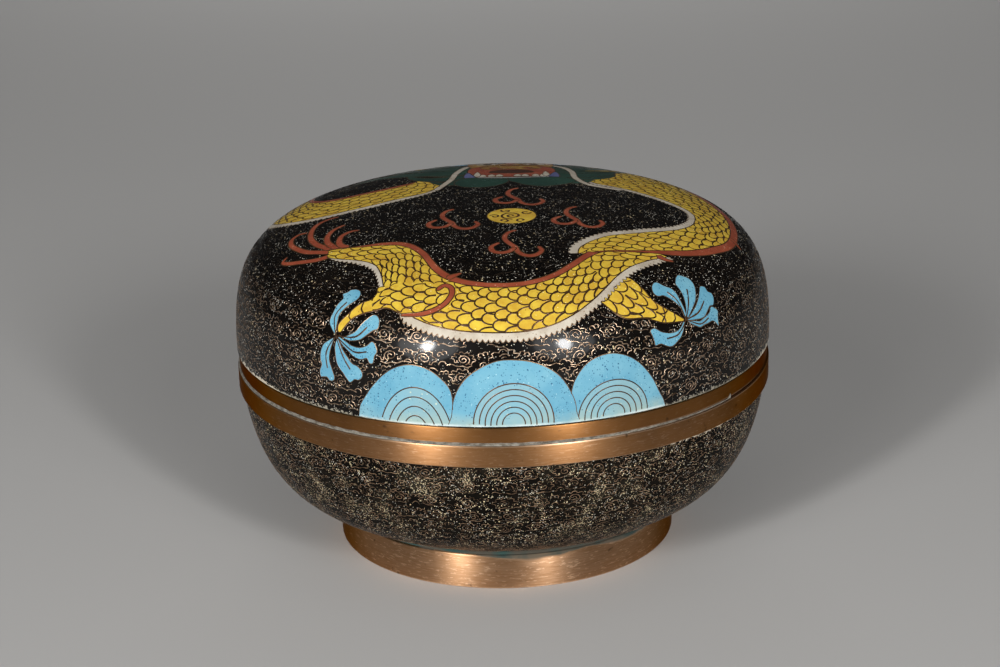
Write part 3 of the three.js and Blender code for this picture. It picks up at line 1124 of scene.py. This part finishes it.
used, corners = np.unique(corners, return_inverse=True)
corners = corners.reshape(-1, 3)
flat = flat[used]
points, normals = lid_skin.lay(np.minimum(np.hypot(*flat.T), EDGE_RUN), np.arctan2(flat[:, 1], flat[:, 0]))
on_rim = np.flatnonzero(np.hypot(*flat.T) > FLAT_RIM - 0.02)
on_rim = on_rim[np.argsort(np.arctan2(flat[on_rim, 1], flat[on_rim, 0]))]
angles = np.arctan2(flat[on_rim, 1], flat[on_rim, 0])
hollow = dome_line(lid_radius - LID_WALL, lid_bottom, lid_high.z / MM - LID_WALL, HOLLOW_STEPS)[::-1]
back_line = np.vstack([[lid_radius - LID_TURN_IN, lid_bottom], hollow[:-1]])

# From the rim the shell turns in under the edge, runs up the hollow side and closes at the crown.
shell = [tuple(p) for p in points]
faces = [tuple(int(n) for n in f) for f in corners]
colours = list(tops)
previous = [int(n) for n in on_rim]
for step, (radius, height) in enumerate(back_line):
    ring = list(range(len(shell), len(shell) + len(angles)))
    shell += [(radius * math.cos(a), radius * math.sin(a), height) for a in angles]
    for k in range(len(ring)):
        j = (k + 1) % len(ring)
        faces.append((previous[j], previous[k], ring[k], ring[j]))
        colours.append(-1 if step else 0)
    previous = ring
shell.append((0, 0, hollow[-1][1]))
for k in range(len(previous)):
    faces.append((previous[(k + 1) % len(previous)], previous[k], len(shell) - 1))
    colours.append(-1)

# Each glass has a colour, a deeper shade, specks and a fineness of clouding.
GLASSES = {
    "yellow": (
        (0.76, 0.54, 0.06), (0.58, 0.34, 0.035),
        [((0.30, 0.13, 0.02), 900.0, 0.2), ((0.92, 0.80, 0.38), 1000.0, 0.24)],
        210.0,
    ),
    "white": (
        (0.62, 0.56, 0.46), (0.46, 0.39, 0.30),
        [((0.25, 0.16, 0.1), 900.0, 0.24), ((0.30, 0.22, 0.15), 1400.0, 0.3)],
        160.0,
    ),
    "turquoise": (
        (0.185, 0.435, 0.55), (0.12, 0.35, 0.49),
        [((0.03, 0.13, 0.24), 1100.0, 0.34), ((0.03, 0.15, 0.26), 1700.0, 0.42),
         ((0.45, 0.68, 0.72), 1000.0, 0.22)],
        90.0,
    ),
    "pale_turquoise": (
        (0.21, 0.44, 0.54), (0.25, 0.42, 0.46),
        [((0.04, 0.13, 0.2), 1100.0, 0.28), ((0.55, 0.62, 0.5), 700.0, 0.25)],
    ),
    "red": (
        (0.36, 0.085, 0.04), (0.25, 0.05, 0.024),
        [((0.62, 0.30, 0.20), 1100.0, 0.28), ((0.10, 0.03, 0.015), 900.0, 0.2)],
        110.0,
    ),
    "green": ((0.024, 0.07, 0.048), (0.014, 0.042, 0.03), [((0.08, 0.2, 0.16), 900.0, 0.24)]),
    "violet": ((0.14, 0.15, 0.30), (0.08, 0.09, 0.22)),
    "pale_grey": ((0.42, 0.42, 0.40), (0.30, 0.30, 0.29)),
    "brown": ((0.08, 0.03, 0.015), (0.05, 0.018, 0.01)),
    "ochre": ((0.42, 0.24, 0.045), (0.22, 0.09, 0.03), (), 160.0),
}
ENAMELS = {name: Enamel(name + "_enamel", *glass) for name, glass in GLASSES.items()}

# The foot of the waves pales toward the rim, and a broken pale line along their lowest edge is a painted
# highlight, for light caught on the rounded edge.
FOAM = (0.42, 0.50, 0.40, 1)
PAINTED_EDGE_HIGHLIGHT = (0.68, 0.78, 0.78, 1)
for sea in (ENAMELS["turquoise"], ENAMELS["pale_turquoise"]):
    foam = sea.ramp(sea.height(), (lid_bottom + 5.5) * MM, (lid_bottom + 0.5) * MM, 0.0, 0.75)
    uneven = sea.patchy(130.0, 0.36, 0.6, 0.25, 1.0, detail=4.0)
    tone = sea.mix(sea.math("MULTIPLY", foam, uneven), sea.tone, FOAM)
    # Painted highlight: a broken pale line along the lowest 1.5 mm of the sea.
    edge_highlight = sea.ramp(sea.height(), (lid_bottom + 1.5) * MM, (lid_bottom + 0.6) * MM)
    broken = sea.patchy(45.0, 0.42, 0.58, 0.0, 0.9, detail=5.0, rough=0.65)
    sea.set(Base_Color=sea.mix(sea.math("MULTIPLY", edge_highlight, broken), tone, PAINTED_EDGE_HIGHLIGHT))

# The black ground is chipped and scuffed along its edge.
LID_CLOUDED = (0.006, 0.0045, 0.0035)
SCUFF = (0.30, 0.27, 0.21, 1)
LID_CHIPS = [(-66, 8), (74, 5), (-20, 3), (125, 10), (-140, 16)]
LID_SCUFFS = [(-38, 16), (52, 24), (100, 16), (180, 30)]
black_enamel = Enamel("black_enamel", BLACK, LID_CLOUDED, BLACK_SPECKS)
ragged_pale_edge = fringe(black_enamel, lid_bottom, 2.6, LID_CHIPS)
scuffed = fringe(black_enamel, lid_bottom, 2.2, LID_SCUFFS, 800.0, 6.0)
tone = black_enamel.mix(scuffed, black_enamel.tone, SCUFF)
black_enamel.set(Base_Color=black_enamel.mix(ragged_pale_edge, tone, EDGE_CREAM), Specular_IOR_Level=0.05)

lid = meshed("lid_enamel", shell, faces)
mesh = lid.data
dress(lid, black_enamel.material, "lid")
slots = {"black": 0}
for name, enamel in ENAMELS.items():
    slots[name] = len(mesh.materials)
    mesh.materials.append(enamel.material)
slots["inside"] = len(mesh.materials)
mesh.materials.append(inside_enamel.material)
by_patch = [slots["black"]] + [slots[colour] for colour, _ in patches]
mesh.polygons.foreach_set("material_index", [slots["inside"] if c < 0 else by_patch[c] for c in colours])
mesh.validate()
smooth_by_angle(lid, ENAMEL_ANGLE)
given = [(0.0, 0.0, 0.0)] * len(mesh.vertices)
given[:len(normals)] = [tuple(n) for n in normals]
mesh.normals_split_custom_set_from_vertices(given)

# --- The wires -----------------------------------------------------------------------------------
# Flat copper wire, gilded and ground level with the glass. It fences the fields, draws the scales,
# and fills the black ground of lid and bowl with small scrolling clouds.

WIRE_SUNK = 0.03
WIRE_PROUD = 0.05
DRAGON_WIDTH = 0.64
EDGE_WIDTH = 0.42
CLOUD_WIDTH = 0.34
CLOUD_STEP = 0.85
CLOUD_SCALE = 6.4                # the gap between rings that clouds are drawn for
CROWN_CLOUDS = 98.0
LID_CLOUD_GAP = 6.5
LID_CLOUD_PITCH = 13.4
BOWL_CLOUD_GAP = 5.9
BOWL_CLOUD_PITCH = 12.2


def wires(name, strips, width, material):
    """All the wires of one piece. Each strip is (points, normals, closed) in mm."""
    all_points, all_faces, all_normals = [], [], []
    for points, normals, closed in strips:
        if closed:
            points, normals = points[:-1], normals[:-1]
            way = np.roll(points, -1, 0) - np.roll(points, 1, 0)
        else:
            way = np.gradient(points, axis=0)
        side = np.cross(normals, way)
        side /= np.linalg.norm(side, axis=1)[:, None] + 1e-9
        low = points - normals * WIRE_SUNK
        first = len(all_points)
        count = len(points)
        for trio, tilt in zip(
            np.stack([low - side * width / 2, points + normals * WIRE_PROUD, low + side * width / 2], 1),
            np.stack([normals - side * 0.8, normals, normals + side * 0.8], 1),
        ):
            all_points.extend(trio)
            all_normals.extend(tilt)
        for k in range(count if closed else count - 1):
            a, b = first + 3 * k, first + 3 * ((k + 1) % count)
            all_faces += [(b, b + 1, a + 1, a), (b + 1, b + 2, a + 2, a + 1), (b + 2, b, a, a + 2)]
        if not closed:
            last = first + 3 * (count - 1)
            all_faces += [(first, first + 1, first + 2), (last, last + 2, last + 1)]
    piece = meshed(name, all_points, all_faces)
    mesh = piece.data
    mesh.polygons.foreach_set("use_smooth", [True] * len(mesh.polygons))
    steep = np.array(all_normals)
    steep /= np.linalg.norm(steep, axis=1)[:, None]
    mesh.normals_split_custom_set_from_vertices(steep.tolist())
    mesh.materials.append(material)
    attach(piece, "root")


def wire_metal(name, colour, tarnish, metallic, grain=70.0):
    finish = Finish(name)
    stains = finish.patchy(grain, 0.35, 0.62)
    rough = finish.patchy(300.0, 0.3, 0.7, 0.22, 0.42)
    finish.set(Base_Color=finish.mix(stains, (*colour, 1), (*tarnish, 1)), Roughness=rough, Metallic=metallic)
    finish.bump(finish.noise(900.0), 0.00002, 0.4)
    return finish.material


RING = np.array([(math.cos(a), math.sin(a)) for a in np.arange(0, 2 * math.pi, math.pi / 4)])


def seen(flat_lines, levels, margin):
    """Which points of each flat line aren't under a patch above its level.

    A positive margin hides only points that far inside a patch, a negative one also those near it.
    """
    points = np.vstack(flat_lines)
    level = np.repeat(levels, [len(line) for line in flat_lines])
    over = [top_patch(points + offset) > level for offset in np.vstack([[0, 0], RING * abs(margin)])]
    hidden = np.all(over, axis=0) if margin > 0 else np.any(over, axis=0)
    return np.split(~hidden, np.cumsum([len(line) for line in flat_lines])[:-1])


def tidy_line(line):
    """The line without points that repeat the one before."""
    return line[np.concatenate([[True], np.linalg.norm(np.diff(line, axis=0), axis=1) > 1e-3])]


kinds = {"brown": [], "pale": []}
fences = [tidy_line(line) for line, _, _ in lines]
shows = seen(fences, [level for _, level, _ in lines], 0.3)
for line, show, (_, _, kind) in zip(fences, shows, lines):
    show &= np.hypot(*line.T) < EDGE_RUN - 0.2
    closed = bool(show.all()) and np.linalg.norm(line[0] - line[-1]) < 1e-3
    for first, last in runs(show):
        if last - first > 1:
            part = line[first:last]
            laid = lid_skin.lay(np.hypot(*part.T), np.arctan2(part[:, 1], part[:, 0]))
            kinds[kind].append((*laid, closed))
DRAGON_METAL = wire_metal("dragon_wire", (0.13, 0.062, 0.022), (0.06, 0.03, 0.014), 0.5)
EDGE_METAL = wire_metal("edge_wire", (0.36, 0.23, 0.13), (0.14, 0.08, 0.045), 0.8)
wires("dragon_wires", kinds["brown"], DRAGON_WIDTH, DRAGON_METAL)
wires("wave_and_edge_wires", kinds["pale"], EDGE_WIDTH, EDGE_METAL)

CLOUD_CURL = [
    [(-1.6, -0.4), (-1.9, 0.5), (-1.0, 1.1), (0.1, 0.8), (0.3, -0.1), (-0.4, -0.4)],
    [(0.3, 0.6), (1.4, 1.1), (2.3, 0.4), (2.1, -0.5), (1.3, -0.5)],
]
CRESCENT = [[(-1.5, -0.3), (-0.9, 0.6), (0.2, 0.8), (1.2, 0.3), (1.4, -0.5)]]


def cloud(dice):
    """One cloud drawn lying flat, in mm: a curl inside a lobed collar, over a trailing foot."""
    wide, tall = dice.uniform(3.7, 4.7), dice.uniform(2.4, 2.8)
    turn = np.linspace(0, dice.uniform(3.0, 3.7) * math.pi, 17)
    coil = 0.3 + 0.15 * turn
    curl = np.stack([1.3 * coil * np.cos(turn), coil * np.sin(turn)], 1)
    lobes = dice.choice((4, 5, 5, 6))
    share = np.linspace(0, 1, lobes * 3 + 1)
    turn = math.pi * (1.06 - 1.12 * share)
    swell = 0.84 + 0.3 * np.abs(np.sin(math.pi * lobes * share))
    collar = np.stack([wide * swell * np.cos(turn), tall * swell * np.sin(turn)], 1)
    hook = np.array([(0.2, -0.9), (1.1, -0.9), (0.9, 0.0)])
    collar = np.vstack([(collar[0] + hook)[::-1], collar, collar[-1] + hook * (-1, 1)])
    tail = dice.uniform(0.6, 2.6)
    trail = [(-wide * 0.85, -1.7), (-wide * 0.4, -2.5), (0, -2.2)]
    trail += [(wide * 0.5, -2.6), (wide, -2.1), (wide + tail, -2.7)]
    return [curl, collar, trail]


def cloud_lines(skin, gap, pitch, from_run, to_run, dice):
    """Rings of clouds: for each wire of each cloud, its distances along the skin and its angles."""
    along = from_run
    while along < to_run:
        count = max(3, round(2 * math.pi * skin.radius(along) / pitch))
        phase = dice.uniform(0, 1)
        for k in range(count):
            turn = (k + phase + dice.uniform(-0.06, 0.06)) * 2 * math.pi / count
            half = pitch * dice.uniform(0.48, 0.52)
            members = [(cloud(dice), 0, dice.uniform(-0.35, 0.35), 1.0)]
            members += [(CLOUD_CURL, half, gap * 0.24, 0.8), (CRESCENT, half, -gap * 0.26, 0.85)]
            for part, dx, dy, size in members:
                flip = dice.choice((-1, 1))
                size *= dice.uniform(0.9, 1.06) * gap / CLOUD_SCALE
                tilt = dice.uniform(-0.3, 0.3)
                for path in part:
                    line = smooth_line(path, CLOUD_STEP / size) if len(path) < 8 else path
                    x = line[:, 0] * flip * size
                    y = line[:, 1] * size
                    x, y = x - y * tilt + dx, y + x * tilt + dy
                    spot = along - y
                    yield spot, turn + x / np.maximum(skin.radius(spot), 3)
        along += gap * dice.uniform(0.94, 1.06)


CLOUD_METAL = wire_metal("cloud_wire", (0.78, 0.56, 0.39), (0.12, 0.07, 0.04), 0.97, 420.0)
# The crown's cloud wires get a far darker colour and tarnish than the shoulder's: painted shade, for the
# crown faces away from the lamps.
CROWN_SHADED_METAL = wire_metal("crown_cloud_wire", (0.25, 0.175, 0.12), (0.02, 0.012, 0.007), 0.97, 420.0)
BOWL_METAL = wire_metal("bowl_cloud_wire", (0.66, 0.42, 0.26), (0.045, 0.026, 0.014), 0.97, 420.0)

crown_strips, shoulder_strips = [], []
lid_dice = random.Random(11)
clouds = list(cloud_lines(lid_skin, LID_CLOUD_GAP, LID_CLOUD_PITCH, 4, EDGE_RUN - 1, lid_dice))
flat_lines = [np.stack([spot * np.cos(angle), spot * np.sin(angle)], 1) for spot, angle in clouds]
for (spot, angle), show in zip(clouds, seen(flat_lines, [0] * len(clouds), -0.5)):
    show &= (spot > 0.5) & (spot < EDGE_RUN - 0.6)
    for first, last in runs(show):
        if last - first > 2:
            near = crown_strips if spot[first] < CROWN_CLOUDS else shoulder_strips
            near.append((*lid_skin.lay(spot[first:last], angle[first:last]), False))
wires("crown_cloud_wires", crown_strips, CLOUD_WIDTH, CROWN_SHADED_METAL)
wires("shoulder_cloud_wires", shoulder_strips, CLOUD_WIDTH, CLOUD_METAL)

bowl_dice = random.Random(23)
bowl_clouds = cloud_lines(bowl_skin, BOWL_CLOUD_GAP, BOWL_CLOUD_PITCH, 3, bowl_skin.length - 2.5, bowl_dice)
strips = []
for spot, angle in bowl_clouds:
    show = (spot > 0.4) & (spot < bowl_skin.length - 1)
    for first, last in runs(show):
        if last - first > 2:
            strips.append((*bowl_skin.lay(spot[first:last], angle[first:last]), False))
wires("bowl_cloud_wires", strips, CLOUD_WIDTH * 0.9, BOWL_METAL)
